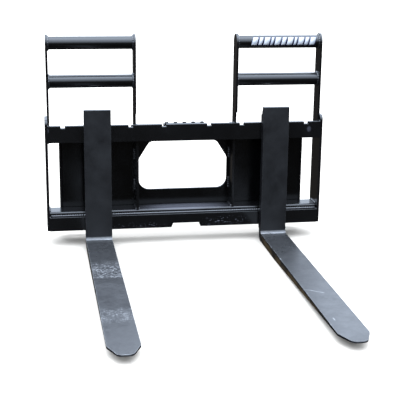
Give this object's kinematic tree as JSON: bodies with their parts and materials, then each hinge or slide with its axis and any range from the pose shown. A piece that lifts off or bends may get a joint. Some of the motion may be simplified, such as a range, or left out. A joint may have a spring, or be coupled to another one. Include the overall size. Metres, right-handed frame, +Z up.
{
  "type": "pallet fork attachment",
  "caption": "Pallet fork attachment: carriage frame with a quick-attach back, load guards and L-shaped forks that slide along a notched bar and lock with spring pins.",
  "frame": {"origin": "on the floor under the middle of the attachment's bounding box, midway between the fork tips and the back of the quick attach", "axes": "+X to the right, +Y from the fork tips towards the loader, +Z up"},
  "size_m": [1.067, 1.2734, 0.8017],
  "materials": {
    "frame_paint": "glossy black powder coat with orange peel, rubbed along the edges",
    "fork_steel": "semi-matte grey-black paint over forged steel, scuffed on the blades",
    "black_hardware": "black oxide, painted over",
    "zinc_hardware": "zinc plated",
    "spring_steel": "oiled spring wire"
  },
  "bodies": {
    "carriage": {"top_carriage_bar": "frame_paint", "bottom_carriage_bar": "frame_paint", "lower_cross_tube": "frame_paint", "upper_tie_plate": "frame_paint", "end_plate_left": "frame_paint", "end_plate_right": "frame_paint", "inner_rib_left": "frame_paint", "inner_rib_right": "frame_paint", "attach_plate": "frame_paint", "attach_hook": "frame_paint", "attach_edge_left": "frame_paint", "attach_edge_right": "frame_paint", "attach_flange_left": "frame_paint", "attach_flange_right": "frame_paint", "tread_step": "frame_paint", "guard_inner_upright_left": "frame_paint", "guard_inner_upright_right": "frame_paint", "guard_outer_upright_left": "frame_paint", "guard_outer_upright_right": "frame_paint", "guard_top_tube_left": "frame_paint", "guard_top_tube_right": "frame_paint", "guard_mid_tube_left": "frame_paint", "guard_mid_tube_right": "frame_paint", "guard_lug_left": "frame_paint", "guard_lug_right": "frame_paint", "guard_bolts": "black_hardware", "guard_washers": "black_hardware"},
    "left_fork": {"fork_left": "fork_steel", "top_hook_left": "fork_steel", "bottom_hook_left": "fork_steel", "lock_cap_left": "zinc_hardware", "lock_cap_screws_left": "zinc_hardware", "lock_spring_left": "spring_steel"},
    "left_lock_pin": {"lock_pin_left": "zinc_hardware", "lock_handle_left": "zinc_hardware"},
    "right_fork": {"fork_right": "fork_steel", "top_hook_right": "fork_steel", "bottom_hook_right": "fork_steel", "lock_cap_right": "zinc_hardware", "lock_cap_screws_right": "zinc_hardware", "lock_spring_right": "spring_steel"},
    "right_lock_pin": {"lock_pin_right": "zinc_hardware", "lock_handle_right": "zinc_hardware"}
  },
  "joints": [
    {"name": "fork_left_slide", "type": "slide", "parent": "carriage", "child": "left_fork", "axis": [1, 0, 0], "range_m": [-0.127, 0.254]},
    {"name": "fork_right_slide", "type": "slide", "parent": "carriage", "child": "right_fork", "axis": [1, 0, 0], "range_m": [-0.254, 0.127]},
    {"name": "lock_pin_left_slide", "type": "slide", "parent": "left_fork", "child": "left_lock_pin", "axis": [0, 0, 1], "range_m": [-0.0095, 0], "stiffness_N_per_m": 800, "springref_m": -0.012, "deforming": ["lock_spring_left"]},
    {"name": "lock_pin_right_slide", "type": "slide", "parent": "right_fork", "child": "right_lock_pin", "axis": [0, 0, 1], "range_m": [-0.0095, 0], "stiffness_N_per_m": 800, "springref_m": -0.012, "deforming": ["lock_spring_right"]}
  ]
}
